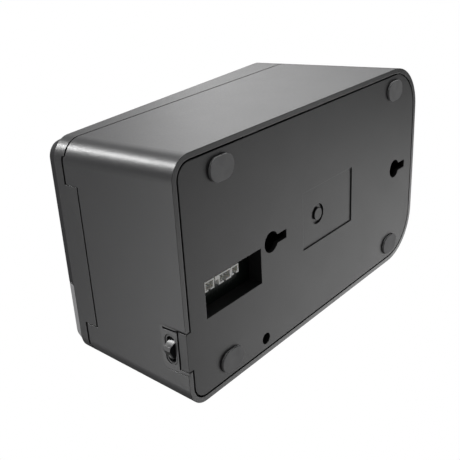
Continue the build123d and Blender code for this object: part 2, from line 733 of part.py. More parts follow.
def leds():
    return [box(x - 1.2, x + 1.2, BUTTON_BOARD_Y - 1.5, BUTTON_BOARD_Y, LENS_Z - 1, LENS_Z + 1) for x in LENS_X]


# ---- power switch ----
def switch_body():
    """Housing of the rocker switch, open towards the rear, with two blade terminals behind."""
    y0 = POCKET_FLOOR - SWITCH_DEEP
    long_in = SWITCH_LONG - 2 * SWITCH_WALL
    high_in = SWITCH_HIGH - 2 * SWITCH_WALL
    outer = stadium(SWITCH_LONG - 0.2, SWITCH_HIGH - 0.2, SWITCH_DEEP)
    outer -= Pos(0, 0, 1.5) * stadium(long_in, high_in, SWITCH_DEEP)
    for x in (-4.0, 4.0):
        outer += Pos(x, 0, -1.9) * Box(0.8, 3.5, 3.8)
    return Pos(SWITCH_X, y0, SWITCH_MID) * Rot(-90, 0, 0) * outer


def rocker():
    """Ridge-backed rocker, drawn pressed at its left end."""
    half_long = SWITCH_LONG / 2 - SWITCH_WALL - ROCKER_END_GAP
    half_high = SWITCH_HIGH / 2 - SWITCH_WALL - TOUCH_GAP
    ridge = ROCKER_PIVOT + ROCKER_RIDGE
    end = ROCKER_PIVOT - ROCKER_END
    profile = [(-2.6, -ROCKER_FOOT), (-half_long, 0.8), (-half_long, end), (-0.9, ridge)]
    profile += [(0.9, ridge), (half_long, end), (half_long, 0.8), (2.6, -ROCKER_FOOT)]
    body = extrude(make_face(Polyline(*profile, close=True)), half_high, both=True)
    body -= rocker_dish((-half_long, end), (-0.9, ridge))
    ends = stadium(2 * half_long, 2 * half_high, 30)
    body &= Pos(0, 15, 0) * Rot(90, 0, 0) * ends
    body -= Cylinder(1.0 + SLIP, 3 * half_high)
    body = Rot(0, 0, ROCKER_TILT) * body
    return Pos(SWITCH_X, POCKET_FLOOR - ROCKER_PIVOT, SWITCH_MID) * body


def rocker_dish(low, high):
    """Cylinder that hollows the raised half between two points of its profile."""
    chord = sqrt((high[0] - low[0]) ** 2 + (high[1] - low[1]) ** 2)
    radius = (chord ** 2 / 4 + ROCKER_DISH ** 2) / (2 * ROCKER_DISH)
    reach = (radius - ROCKER_DISH) / chord
    x = (low[0] + high[0]) / 2 - (high[1] - low[1]) * reach
    y = (low[1] + high[1]) / 2 + (high[0] - low[0]) * reach
    return Pos(x, y, 0) * Cylinder(radius, SWITCH_HIGH)


def rocker_pin():
    half_high = SWITCH_HIGH / 2 - SWITCH_WALL
    place = Pos(SWITCH_X, POCKET_FLOOR - ROCKER_PIVOT, SWITCH_MID)
    return place * Cylinder(1.0, 2 * half_high)


# ---- cover ----
def cover_walls():
    walls = hull(0) - hull(COVER_WALL)
    skin = hull(COVER_WALL / 2) & slice_between(lambda y: edge_z(y) - 2.0, edge_z)
    walls &= slice_between(lambda y: seam_z(y) + SEAM_GAP / 2, edge_z)
    return walls + skin


def tongue():
    """Rear tongue with the hinge knuckle along its lower edge."""
    low = HINGE_Z - KNUCKLE_RADIUS
    plate = box(-TONGUE_HALF, TONGUE_HALF, HALF - WALL, HALF, low, LIP_HIGH + COVER_WALL)
    knuckle = rod_x(-TONGUE_HALF, TONGUE_HALF, HINGE_Y, HINGE_Z, KNUCKLE_RADIUS)
    return plate + knuckle


def platen_arms():
    arms = []
    for side in (-1, 1):
        x0 = side * ARM_X0
        x1 = side * (ARM_X0 + ARM_THICK)
        low = PLATEN_Z - PLATEN_RADIUS + 0.6
        y0, y1 = PLATEN_Y - ARM_HALF, PLATEN_Y + ARM_HALF
        points = [(y0 + 3, low), (y1 - 3, low), (y1, low + 3), (y1 + 3, edge_z(y1) - 1)]
        points += [(y0 - 1, edge_z(y0) - 1), (y0, low + 3)]
        arms.append(prism_x(points, min(x0, x1), max(x0, x1)))
    return arms


def cover_ribs():
    """Shallow cross ribs under the cover's skin."""
    ribs = []
    for y in (-40.0, -5.0, 30.0, 62.0):
        top = edge_z(y) - 1
        half = inner_half(top) - 4
        ribs.append(box(-half, half, y - 0.8, y + 0.8, top - 4.5, top))
    return ribs


def paper_slot_cut():
    half = PAPER_WIDE / 2 + 2
    low = seam_z(-HALF) - 3
    return box(-half, half, -HALF - 2, -HALF + 12, low, seam_z(-HALF) + PAPER_SLOT)


def cover_shell():
    lip_side = LIP_HALF + TOUCH_GAP
    shell = cover_walls()
    shell -= box(-lip_side, lip_side, HINGE_Y - 1, HALF + 1, HINGE_Z, LIP_HIGH)
    shell += tongue()
    shell += platen_arms()
    shell += cover_ribs()
    shell -= paper_slot_cut()
    for side in (-1, 1):
        x0, x1 = side * (ARM_X0 - 1), side * (ARM_X0 + ARM_THICK + 1)
        shell -= rod_x(min(x0, x1), max(x0, x1), PLATEN_Y, PLATEN_Z, BUSH_RADIUS + PIN_PRESS_GAP)
    shell -= hinge_bores(SLIP)
    for x, y in DECK_PEGS:
        shell -= deck_place(x, y, -4) * Cylinder(1.7, 6, align=align_min())
    return shell


# ---- deck ----
def deck_place(x, y, lift):
    """Location on the sloping top of the cover; lift is measured along its normal."""
    origin = (x, y + lift * sin(DECK_ANGLE), edge_z(y) + lift * cos(DECK_ANGLE))
    plane = Plane(origin=origin, x_dir=(1, 0, 0), z_dir=(0, sin(DECK_ANGLE), cos(DECK_ANGLE)))
    return plane.location


def deck_outline(inset, lift):
    stretch = 1 / cos(DECK_ANGLE)
    half_rear = WIDTH / 2 - SIDE_DRAFT * EDGE_REAR - inset
    half_front = WIDTH / 2 - SIDE_DRAFT * EDGE_FRONT - inset
    y_rear = (HALF - inset) * stretch
    y_front = (-HALF + FRONT_BOW + FRONT_DRAFT * EDGE_FRONT + inset) * stretch
    r_rear, r_front = CORNER_REAR - inset, CORNER_FRONT - inset
    plan = outline(half_rear, half_front, y_rear, y_front, r_rear, r_front)
    return deck_place(0, 0, lift) * plan


def deck_slab():
    top = DECK_INSET + DECK_BEVEL
    outer = loft([deck_outline(DECK_INSET, 0), deck_outline(top, DECK_RISE)], ruled=True)
    low, high = DECK_INSET + DECK_SKIN, top + DECK_SKIN
    inner = loft([deck_outline(low, -0.5), deck_outline(high, DECK_RISE - DECK_SKIN)], ruled=True)
    return outer - inner


def deck_half(x0, x1):
    piece = deck_slab() & box(x0, x1, -REACH, REACH, 0, REACH)
    for x, y in DECK_PEGS:
        if x0 < x < x1:
            piece += deck_place(x, y, -1.9) * Cylinder(1.5, DECK_RISE + 0.5, align=align_min())
    return piece


# ---- platen ----
def platen_roller():
    half = PAPER_WIDE / 2
    tube = rod_x(-half, half, PLATEN_Y, PLATEN_Z, PLATEN_RADIUS)
    return tube - rod_x(-half - 1, half + 1, PLATEN_Y, PLATEN_Z, PLATEN_SHAFT)


def platen_shaft():
    x1 = FRAME_X0 + FRAME_THICK + 1
    return rod_x(GEAR_X0 - 0.8, x1, PLATEN_Y, PLATEN_Z, PLATEN_SHAFT)


def platen_bush(side):
    x0, x1 = side * (ARM_X0 - 0.9), side * (ARM_X0 + ARM_THICK)
    f0, f1 = side * (ARM_X0 - 0.9), side * ARM_X0
    bush = rod_x(min(x0, x1), max(x0, x1), PLATEN_Y, PLATEN_Z, BUSH_RADIUS)
    bush += rod_x(min(f0, f1), max(f0, f1), PLATEN_Y, PLATEN_Z, BUSH_RADIUS + 0.9)
    return bush - rod_x(min(x0, x1) - 1, max(x0, x1) + 1, PLATEN_Y, PLATEN_Z, PLATEN_SHAFT + SLIP)


def platen_gear():
    return at_axis(gear(PLATEN_TEETH, GEAR_WIDE, PLATEN_SHAFT), GEAR_X0, PLATEN_AXIS)


# ---- mechanism frame and drive ----
def side_plate(side):
    x0, x1 = side * FRAME_X0, side * (FRAME_X0 + FRAME_THICK)
    points = [(FRAME_Y0, FRAME_Z0), (FRAME_Y1, FRAME_Z0), (FRAME_Y1, FRAME_Z0 + 18)]
    points += [(HEAD_PIN_Y + 4, PLATEN_Z - 3), (FRAME_Y0 + 1, PLATEN_Z - 3), (FRAME_Y0, PLATEN_Z - 6)]
    plate = prism_x(points, min(x0, x1), max(x0, x1))
    lo, hi = min(x0, x1) - 1, max(x0, x1) + 1
    seat = PLATEN_SHAFT + TOUCH_GAP
    plate -= rod_x(lo, hi, PLATEN_Y, PLATEN_Z, seat)
    plate -= box(lo, hi, PLATEN_Y - seat, PLATEN_Y + seat + 0.6, PLATEN_Z, PLATEN_Z + 10)
    return plate - rod_x(lo, hi, HEAD_PIN_Y, HEAD_PIN_Z, HEAD_PIN_RADIUS + PIN_PRESS_GAP)


def mech_frame():
    outer = FRAME_X0 + FRAME_THICK
    frame = box(-outer, outer, FRAME_Y0, FRAME_Y1, FRAME_Z0, FRAME_Z0 + FRAME_FLOOR)
    frame += side_plate(-1) + side_plate(1)
    frame += box(-outer, outer, FRAME_Y0, FRAME_Y0 + 9, WEB_Z, WEB_Z + WEB_THICK)
    bar = box(-outer, outer, FRAME_Y0, FRAME_Y0 + 1.6, FRAME_Z0, WEB_Z + WEB_THICK)
    frame += bar
    x0 = -outer - 1
    frame -= rod_x(x0, -FRAME_X0 + 1, MOTOR_AXIS[0], MOTOR_AXIS[1], MOTOR_SHAFT + 1.5)
    frame -= rod_x(x0, -FRAME_X0 + 1, IDLER_AXIS[0], IDLER_AXIS[1], STUD_RADIUS + PIN_PRESS_GAP)
    for x, y in FRAME_SCREWS:
        frame -= rod_z(x, y, FRAME_Z0 - 1, FRAME_Z0 + 5, SMALL_SCREW + 0.2)
    for x in (-SPRING_X, SPRING_X):
        frame += rod_z(x, SPRING_Y, WEB_Z + WEB_THICK, WEB_Z + WEB_THICK + 2, SPRING_RADIUS - 2 * SPRING_WIRE - TOUCH_GAP)
    return frame


def idler_stud():
    y, z = IDLER_AXIS
    stud = rod_x(GEAR_X0 - 0.2, -FRAME_X0, y, z, STUD_RADIUS)
    return stud + rod_x(GEAR_X0 - 1.2, GEAR_X0 - 0.2, y, z, STUD_RADIUS + 1.1)


def idler_gear():
    """Its teeth sit in the platen gear's spaces."""
    phase = mesh_phase(PLATEN_TEETH, 0.0, IDLER_TEETH, IDLER_TURN)
    wheel = gear(IDLER_TEETH, GEAR_WIDE, STUD_RADIUS + SLIP, phase)
    return at_axis(wheel, GEAR_X0, IDLER_AXIS)


def mesh_phase(driver_teeth, driver_phase, teeth, below):
    """Tooth angle that puts a space of this gear on a tooth of its neighbour."""
    line = -below * pi / 180
    part_turn = (line - driver_phase) * driver_teeth / (2 * pi)
    offset = part_turn - round(part_turn)
    return line + pi + (0.5 + offset) * 2 * pi / teeth


def pinion():
    idler_phase = mesh_phase(PLATEN_TEETH, 0.0, IDLER_TEETH, IDLER_TURN)
    phase = mesh_phase(IDLER_TEETH, idler_phase, PINION_TEETH, PINION_TURN)
    wheel = gear(PINION_TEETH, GEAR_WIDE, MOTOR_SHAFT, phase)
    return at_axis(wheel, GEAR_X0, MOTOR_AXIS)


def motor_shaft():
    return rod_x(GEAR_X0 - 0.5, -FRAME_X0 + MOTOR_LONG - 2, MOTOR_AXIS[0], MOTOR_AXIS[1], MOTOR_SHAFT)


def stepper_motor():
    y, z = MOTOR_AXIS
    can = rod_x(-FRAME_X0, -FRAME_X0 + MOTOR_LONG, y, z, MOTOR_RADIUS)
    can += rod_x(-FRAME_X0 - FRAME_THICK, -FRAME_X0, y, z, MOTOR_SHAFT + 1.4)
    return can - rod_x(-FRAME_X0 - 5, -FRAME_X0 + MOTOR_LONG - 1.7, y, z, MOTOR_SHAFT + SLIP)


# ---- print head ----
def head_bracket():
    half = FRAME_X0 - 1.0
    top = HEAD_TOP - HEAD_STRIP
    plate = box(-half, half, HEAD_Y0, HEAD_Y1, HEAD_UNDER, top)
    for side in (-1, 1):
        x0, x1 = side * (half - HEAD_EAR), side * half
        lo, hi = min(x0, x1), max(x0, x1)
        plate += box(lo, hi, HEAD_Y1 - 1, HEAD_PIN_Y, HEAD_UNDER, top)
        plate += rod_x(lo, hi, HEAD_PIN_Y, HEAD_PIN_Z, 2.6)
        plate -= rod_x(lo - 1, hi + 1, HEAD_PIN_Y, HEAD_PIN_Z, HEAD_PIN_RADIUS + SLIP)
    return plate


def head_strip():
    """Ceramic heating strip along the front of the bracket."""
    half = PAPER_WIDE / 2 - 1
    return box(-half, half, PLATEN_Y - 5, PLATEN_Y + 3.5, HEAD_TOP - HEAD_STRIP, HEAD_TOP)


def head_pin():
    x1 = FRAME_X0 + FRAME_THICK + 0.6
    return rod_x(-x1, x1, HEAD_PIN_Y, HEAD_PIN_Z, HEAD_PIN_RADIUS)


def head_spring(x):
    """Compression spring as stacked rings, joined by short risers."""
    low = WEB_Z + WEB_THICK
    high = HEAD_UNDER - TOUCH_GAP
    spread = (high - low - 2 * SPRING_WIRE) / SPRING_TURNS
    path = Helix(spread, high - low - 2 * SPRING_WIRE, SPRING_RADIUS - SPRING_WIRE)
    wire = Plane(origin=path @ 0, z_dir=path % 0) * Circle(SPRING_WIRE)
    coil = sweep(wire, path)
    return Pos(x, SPRING_Y, low + SPRING_WIRE) * coil


# ---- paper path ----
def tear_bar():
    """Serrated blade along the front wall's upper edge."""
    half = PAPER_WIDE / 2
    y = front_surface(seam_z(-HALF)) + FRONT_BOW + WALL
    top = seam_z(-HALF) + 1.2
    blade = box(-half, half, y, y + 0.8, top - 12, top)
    pitch = 2.0
    count = int(PAPER_WIDE / pitch)
    for index in range(count):
        x = -half + (index + 0.5) * pitch
        notch = make_face(Polyline((x - 1, top + 0.1), (x, top - 1.1), (x + 1, top + 0.1), close=True))
        blade -= extrude(Plane.XZ.offset(-y - 2) * notch, 4)
    return blade


def bucket_screw_places():
    x = FLANGE_HALF - 2.6
    return [(sx * x, y) for sx in (-1, 1) for y in (FLANGE_Y0 + 6, FLANGE_Y1 - 6)]


def paper_bucket():
    half_in = PAPER_WIDE / 2 + BUCKET_SIDE_GAP
    half_out = half_in + BUCKET_WALL
    r_out = BUCKET_RADIUS + BUCKET_WALL
    top = FLANGE_Z + FLANGE_THICK
    body = rod_x(-half_out, half_out, BUCKET_Y, BUCKET_Z, r_out)
    body += box(-half_out, half_out, BUCKET_Y - r_out, BUCKET_Y + r_out, BUCKET_Z, top)
    body &= box(-REACH, REACH, -REACH, REACH, 0, top)
    body += box(-FLANGE_HALF, FLANGE_HALF, FLANGE_Y0, FLANGE_Y1, FLANGE_Z, top)
    body -= rod_x(-half_in, half_in, BUCKET_Y, BUCKET_Z, BUCKET_RADIUS)
    body -= box(-half_in, half_in, BUCKET_Y - BUCKET_RADIUS, BUCKET_Y + BUCKET_RADIUS, BUCKET_Z, top + 1)
    for x, y in bucket_screw_places():
        body -= rod_z(x, y, FLANGE_Z - 1, top + 1, SMALL_SCREW + 0.2)
    return body


def small_screw_down(x, y, seat, length):
    head = rod_z(x, y, seat, seat + 1.5, SMALL_HEAD)
    slot = box(x - 1.4, x + 1.4, y - 0.25, y + 0.25, seat + 0.8, seat + 2)
    slot += box(x - 0.25, x + 0.25, y - 1.4, y + 1.4, seat + 0.8, seat + 2)
    return head - slot + rod_z(x, y, seat - length, seat, SMALL_SCREW)


# ---- electronics ----
def main_board():
    board = box(BOARD_X0, BOARD_X1, BOARD_Y0, BOARD_Y1, BOARD_Z, BOARD_Z + BOARD_THICK)
    for x, y in MAIN_POSTS:
        board -= rod_z(x, y, BOARD_Z - 1, BOARD_Z + 4, SMALL_SCREW + 0.2)
    return board


def port_board():
    board = box(PORT_X0, PORT_X1, PORT_Y0, PORT_Y1, BOARD_Z, BOARD_Z + BOARD_THICK)
    for x, y in PORT_POSTS:
        board -= rod_z(x, y, BOARD_Z - 1, BOARD_Z + 4, SMALL_SCREW + 0.2)
    return board


def header(place, long_y, wide_x):
    """Pin header under the board, open downwards, notched, with its pins inside."""
    low = BOARD_Z - HEADER_HIGH
    wall = HEADER_WALL
    x0, x1 = HEADER_X, HEADER_X + wide_x
    y0, y1 = BAY_Y1 - place - long_y / 2, BAY_Y1 - place + long_y / 2
    shell = box(x0, x1, y0, y1, low, BOARD_Z)
    shell -= box(x0 + wall, x1 - wall, y0 + wall, y1 - wall, low - 1, BOARD_Z - wall)
    middle = (y0 + y1) / 2
    shell -= box(x1 - wall - 0.1, x1 + 1, middle - wall, middle + wall, low - 1, low + HEADER_HIGH / 2)
    pins = max(2, int((long_y - 2 * wall) / HEADER_PITCH))
    pin_x = (x0 + x1) / 2
    for index in range(pins):
        pin_y = middle + (index - (pins - 1) / 2) * HEADER_PITCH
        shell += box(pin_x - 0.3, pin_x + 0.3, pin_y - 0.3, pin_y + 0.3, low + 1, BOARD_Z - wall)
    return shell


def headers():
    blocks = [header(*values) for values in HEADERS]
    place, long_y, wide_x = HEADERS[1]
    rear = BAY_Y1 - place + long_y / 2
    low = BOARD_Z - HEADER_HIGH
    blocks[1] += box(HEADER_X, HEADER_X + LUG_WIDE, rear, rear + LUG_LONG, low, BOARD_Z)
    return blocks


def socket_block(y, wide, high):
    """Blank body of a side connector, standing on the port board."""
    z0 = BOARD_Z + BOARD_THICK
    return box(PORT_X1 - 14, PORT_X1 + 2.2, y - wide / 2, y + wide / 2, z0, z0 + high)


def power_socket():
    y, wide, high = PORTS["power_socket"]
    mid = BOARD_Z + BOARD_THICK + high / 2
    block = socket_block(y, wide, high) - rod_x(PORT_X1 - 10, PORT_X1 + 3, y, mid, 3.1)
    return block + rod_x(PORT_X1 - 11, PORT_X1 + 1, y, mid, 1.05)


def usb_socket():
    y, wide, high = PORTS["usb_socket"]
    z0 = BOARD_Z + BOARD_THICK
    cut = box(PORT_X1 - 9, PORT_X1 + 3, y - wide / 2 + 1, y + wide / 2 - 1, z0 + 1, z0 + high - 1)
    key = box(PORT_X1 - 10, PORT_X1 + 1, y - 2.8, y + 2.8, z0 + high / 2 - 1.6, z0 + high / 2 + 1.6)
    return socket_block(y, wide, high) - cut + key


def drawer_socket():
    y, wide, high = PORTS["drawer_socket"]
    z0 = BOARD_Z + BOARD_THICK
    cut = box(PORT_X1 - 10, PORT_X1 + 3, y - wide / 2 + 1.6, y + wide / 2 - 1.6, z0 + 2.6, z0 + high - 1.4)
    latch = box(PORT_X1 - 10, PORT_X1 + 3, y - 1.6, y + 1.6, z0 + 1, z0 + 3)
    return socket_block(y, wide, high) - cut - latch


def capacitors():
    z0 = BOARD_Z + BOARD_THICK
    return [rod_z(BOARD_X0 + 12, y, z0, z0 + 16, 5) for y in (BOARD_Y0 + 10, BOARD_Y1 - 11.6)]


def ribbon_cable():
    """Flat cable from under the print head, through the shelf and back to the main board."""
    top_y = FRAME_Y1 - 9
    end_y = BOARD_Y0 + 2
    low, thick = RIBBON_Z, RIBBON_THICK
    top = SHELF_Z + SHELF_THICK
    path = [(top_y, top), (top_y, low), (end_y + thick, low), (end_y + thick, BOARD_Z)]
    back = [(end_y, BOARD_Z), (end_y, low + thick), (top_y + thick, low + thick), (top_y + thick, top)]
    return prism_x(path + back, RIBBON_X0, RIBBON_X1)


def screws_on_boards():
    places = MAIN_POSTS + PORT_POSTS
    return [small_screw_down(x, y, BOARD_Z + BOARD_THICK, 5.5) for x, y in places]


def button_board_screws():
    screws = []
    for x, z in BUTTON_BOARD_POSTS:
        y = BUTTON_BOARD_Y + BOARD_THICK
        screws.append(rod_y(x, y, y + 1.5, z, SMALL_HEAD) + rod_y(x, y - 4.5, y, z, SMALL_SCREW))
    return screws


def housing_nodes():
    nodes = {"base_shell": base_shell(), "bottom_plate": bottom_plate(), "plate_screws": plate_screws()}
    for name, (x, y) in FEET.items():
        nodes[name] = foot(x, y)
    nodes["hinge_pin_left"] = hinge_pin(-1)
    nodes["hinge_pin_right"] = hinge_pin(1)
    nodes["front_panel"] = front_panel()
    return nodes


def control_nodes():
    return {
        "feed_button": feed_button(),
        "status_lenses": status_lenses(),
        "button_board": button_board(),
        "feed_switch": tact_switch(),
        "status_leds": leds(),
        "button_board_screws": button_board_screws(),
        "power_switch_body": switch_body(),
        "power_rocker": rocker(),
        "rocker_pin": rocker_pin(),
    }


def cover_nodes():
    return {
        "cover_shell": cover_shell(),
        "deck_panel": deck_half(-REACH, DECK_SPLIT_X - DECK_SPLIT_GAP / 2),
        "deck_trim": deck_half(DECK_SPLIT_X + DECK_SPLIT_GAP / 2, REACH),
        "platen_bush_left": platen_bush(-1),
        "platen_bush_right": platen_bush(1),
        "platen_roller": platen_roller(),
        "platen_shaft": platen_shaft(),
        "platen_gear": platen_gear(),
    }


def mechanism_nodes():
    return {
        "mech_frame": mech_frame(),
        "frame_screws": [small_screw_down(x, y, FRAME_Z0 + FRAME_FLOOR, 4.0) for x, y in FRAME_SCREWS],
        "idler_stud": idler_stud(),
        "idler_gear": idler_gear(),
        "motor_pinion": pinion(),
        "motor_shaft": motor_shaft(),
        "stepper_motor": stepper_motor(),
        "print_head_bracket": head_bracket(),
        "print_head_strip": head_strip(),
        "head_pivot_pin": head_pin(),
        "head_springs": [head_spring(-SPRING_X), head_spring(SPRING_X)],
        "tear_bar": tear_bar(),
        "paper_bucket": paper_bucket(),
        "bucket_screws": [small_screw_down(x, y, FLANGE_Z + FLANGE_THICK, 6.0) for x, y in bucket_screw_places()],
    }


def electronics_nodes():
    return {
        "main_board": main_board(),
        "port_board": port_board(),
        "board_screws": screws_on_boards(),
        "board_headers": headers(),
        "power_socket": power_socket(),
        "usb_socket": usb_socket(),
        "drawer_socket": drawer_socket(),
        "capacitors": capacitors(),
        "ribbon_cable": ribbon_cable(),
    }


def main():
    os.makedirs("parts", exist_ok=True)
    nodes = housing_nodes() | control_nodes() | cover_nodes() | mechanism_nodes() | electronics_nodes()
    for name, shape in nodes.items():
        solids = shape if isinstance(shape, list) else [shape]
        export_step(Compound(children=[s for piece in solids for s in piece.solids()]), f"parts/{name}.step")
    print("hinge axis y, z:", HINGE_Y, HINGE_Z)
    print("idler axis:", IDLER_AXIS, "motor axis:", MOTOR_AXIS)
    print("switch pivot:", SWITCH_X, POCKET_FLOOR - ROCKER_PIVOT, SWITCH_MID)


main()
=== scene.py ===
"""Looks for the small till receipt printer: materials, one printed mark, stage, lights and camera."""
import json
import math

import bmesh
import bpy
from mathutils import Matrix, Vector


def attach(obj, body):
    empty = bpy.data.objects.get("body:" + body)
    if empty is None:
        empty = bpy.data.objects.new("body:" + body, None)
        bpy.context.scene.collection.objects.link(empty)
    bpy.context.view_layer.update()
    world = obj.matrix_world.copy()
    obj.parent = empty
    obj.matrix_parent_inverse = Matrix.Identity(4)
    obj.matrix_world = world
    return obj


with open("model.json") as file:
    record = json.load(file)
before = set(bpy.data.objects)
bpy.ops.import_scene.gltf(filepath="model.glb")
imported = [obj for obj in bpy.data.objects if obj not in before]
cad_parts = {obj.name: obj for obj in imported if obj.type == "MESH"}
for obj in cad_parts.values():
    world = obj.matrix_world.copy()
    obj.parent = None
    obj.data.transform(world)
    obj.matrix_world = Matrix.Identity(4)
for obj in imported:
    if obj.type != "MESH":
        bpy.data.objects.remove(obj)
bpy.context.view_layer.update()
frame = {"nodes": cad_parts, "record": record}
MM = 0.001                              # metres in a millimetre
NODES = frame["nodes"]
RECORD = frame["record"]

# ---- material sizes: radii and bump heights in metres, noise scales in features per metre ----
MASK_SAMPLES = 4
ROUND_SAMPLES = 6
EDGE_DOT = (0.86, 0.995)                # agreement of the rounded and true normals, from edge to open face

MOULDED_EDGE = 0.00035
MOULDED_GRAIN = 0.00003
MOULDED_WEAR = 0.25                     # share of the worn tone on an edge
WEAR_REACH = 1.2                        # the worn band against the softened edge
EDGE_POLISH = 0.08                      # roughness taken off a worn edge
PIT_SHARE = 0.6                         # height of the pits against the fine grain
ROUGH_CLOUD = 0.008
ROUGH_GRAIN = 0.05
CLOUD_SCALE = 38
FINE_SCALE = 2600
PIT_SCALE = 900
WEAR_SCALE = 260
HANDLING_SCALE = 60

METAL_EDGE = 0.0002
METAL_GRAIN = 0.000012
STREAK_SCALE = 900
BLOTCH_SCALE = 70

RUBBER_EDGE = 0.0003
RUBBER_GRAIN = 0.00006
CELL_SCALE = 1500
DUST_SCALE = 180

NYLON_EDGE = 0.0002
NYLON_GRAIN = 0.00002
NYLON_IOR = 1.53
NYLON_SCATTER = (0.0008, 0.0007, 0.0006)
NYLON_SCATTER_SHARE = 0.25
MILK_SCALE = 420
SHEEN_SCALE = 900

BOARD_GRAIN = 0.00003
POUR_SCALE = 160
TRACK_WIDTH = 0.09
MASK_SCALE = 300
MASK_GLOSS_SCALE = 700

LENS_GRAIN = 0.00001
LENS_IOR = 1.49
LENS_CLEAR = 0.75
HAZE_SCALE = 500

INK_GRAIN = 0.000004
INK_SCALE = 2500
INK_GLOSS_SCALE = 4000


# ---- material building blocks; dark and light are the ends of a tone, in linear RGB ----
class Shader:
    """A principled material with helpers for the procedural nodes that feed it."""

    def __init__(self, name):
        self.material = bpy.data.materials.new(name)
        self.material.use_nodes = True
        self.tree = self.material.node_tree
        self.shader = self.tree.nodes["Principled BSDF"]
        self.place = self.tree.nodes.new("ShaderNodeTexCoord")

    def node(self, kind, **values):
        made = self.tree.nodes.new(kind)
        for key, value in values.items():
            setattr(made, key, value)
        return made

    def link(self, source, target):
        self.tree.links.new(source, target)

    def noise(self, scale, detail=3.0, roughness=0.5, stretch=(1, 1, 1)):
        """Noise over the object's own coordinates."""
        mapping = self.node("ShaderNodeMapping")
        mapping.inputs["Scale"].default_value = stretch
        self.link(self.place.outputs["Object"], mapping.inputs["Vector"])
        made = self.node("ShaderNodeTexNoise")
        made.inputs["Scale"].default_value = scale
        made.inputs["Detail"].default_value = detail
        made.inputs["Roughness"].default_value = roughness
        self.link(mapping.outputs["Vector"], made.inputs["Vector"])
        return made.outputs["Fac"]

    def spread(self, source, low, high, start=0.3, end=0.7):
        """Maps a signal from start..end to low..high and holds it there beyond them."""
        made = self.node("ShaderNodeMapRange")
        made.inputs["From Min"].default_value = start
        made.inputs["From Max"].default_value = end
        made.inputs["To Min"].default_value = low
        made.inputs["To Max"].default_value = high
        self.link(source, made.inputs["Value"])
        return made.outputs["Result"]

    def blend(self, factor, first, second):
        """Colour mix; first and second are colours or sockets."""
        made = self.node("ShaderNodeMix", data_type="RGBA")
        self.link(factor, made.inputs[0])
        for socket, value in ((made.inputs[6], first), (made.inputs[7], second)):
            if isinstance(value, tuple):
                socket.default_value = (*value, 1.0)
            else:
                self.link(value, socket)
        return made.outputs[2]

    def maths(self, operation, first, second):
        """One maths node; first and second are numbers or sockets."""
        made = self.node("ShaderNodeMath", operation=operation)
        for socket, value in ((made.inputs[0], first), (made.inputs[1], second)):
            if isinstance(value, (int, float)):
                socket.default_value = value
            else:
                self.link(value, socket)
        return made.outputs[0]

    def add(self, first, second):
        return self.maths("ADD", first, second)

    def times(self, first, second):
        return self.maths("MULTIPLY", first, second)

    def edge_mask(self, radius):
        """1 along sharp edges, 0 on open faces."""
        bevel = self.node("ShaderNodeBevel", samples=MASK_SAMPLES)
        bevel.inputs["Radius"].default_value = radius
        geometry = self.node("ShaderNodeNewGeometry")
        dot = self.node("ShaderNodeVectorMath", operation="DOT_PRODUCT")
        self.link(bevel.outputs["Normal"], dot.inputs[0])
        self.link(geometry.outputs["Normal"], dot.inputs[1])
        return self.spread(dot.outputs["Value"], 1.0, 0.0, *EDGE_DOT)

    def bump(self, height, distance, round_edges=0.0):
        """Surface bump; round_edges softens the shading of sharp corners."""
        made = self.node("ShaderNodeBump")
        made.inputs["Distance"].default_value = distance
        made.inputs["Strength"].default_value = 1.0
        self.link(height, made.inputs["Height"])
        if round_edges:
            bevel = self.node("ShaderNodeBevel", samples=ROUND_SAMPLES)
            bevel.inputs["Radius"].default_value = round_edges
            self.link(bevel.outputs["Normal"], made.inputs["Normal"])
        self.link(made.outputs["Normal"], self.shader.inputs["Normal"])

    def set(self, **values):
        """Sets or links inputs of the principled shader by short name."""
        names = {
            "clear": "Transmission Weight",
            "color": "Base Color",
            "ior": "IOR",
            "metal": "Metallic",
            "rough": "Roughness",
            "specular": "Specular IOR Level",
        }
        for key, value in values.items():
            socket = self.shader.inputs[names[key]]
            if isinstance(value, tuple):
                socket.default_value = (*value, 1.0)
            elif isinstance(value, (int, float)):
                socket.default_value = value
            else:
                self.link(value, socket)


def moulded(name, dark, light, rough, grain=MOULDED_GRAIN, worn=(0.16, 0.16, 0.162), gloss=0.5):
    """Injection-moulded plastic: fine spark-eroded grain, cloudy tone, lightly polished edges."""
    m = Shader(name)
    cloud = m.noise(CLOUD_SCALE, detail=4, roughness=0.6)
    tone = m.blend(m.spread(cloud, 0.3, 0.7), dark, light)
    fine = m.noise(FINE_SCALE, detail=2, roughness=0.7)
    pits = m.noise(PIT_SCALE, detail=2)
    mask = m.edge_mask(MOULDED_EDGE * WEAR_REACH)
    edges = m.times(mask, m.spread(m.noise(WEAR_SCALE), 0.1, 1.0))
    tone = m.blend(m.times(edges, MOULDED_WEAR), tone, worn)
    m.set(color=tone, specular=gloss)
    handling = m.spread(m.noise(HANDLING_SCALE, detail=4), rough - ROUGH_CLOUD, rough + ROUGH_CLOUD)
    base = m.add(handling, m.spread(fine, -ROUGH_GRAIN, ROUGH_GRAIN))
    m.set(rough=m.maths("SUBTRACT", base, m.times(edges, EDGE_POLISH)))
    m.bump(m.add(fine, m.times(pits, PIT_SHARE)), grain, MOULDED_EDGE)
    return m.material


def metal(name, dark, light, rough, stretch=(1, 1, 1)):
    """Plain machined or rolled metal with drawn streaks and soft blotches."""
    m = Shader(name)
    streak = m.noise(STREAK_SCALE, stretch=stretch)
    blotch = m.noise(BLOTCH_SCALE)
    m.set(color=m.blend(m.spread(blotch, 0, 1), dark, light), metal=1.0)
    m.set(rough=m.add(m.spread(streak, rough - 0.08, rough + 0.08), m.spread(blotch, -0.04, 0.04)))
    m.bump(streak, METAL_GRAIN, METAL_EDGE)
    return m.material


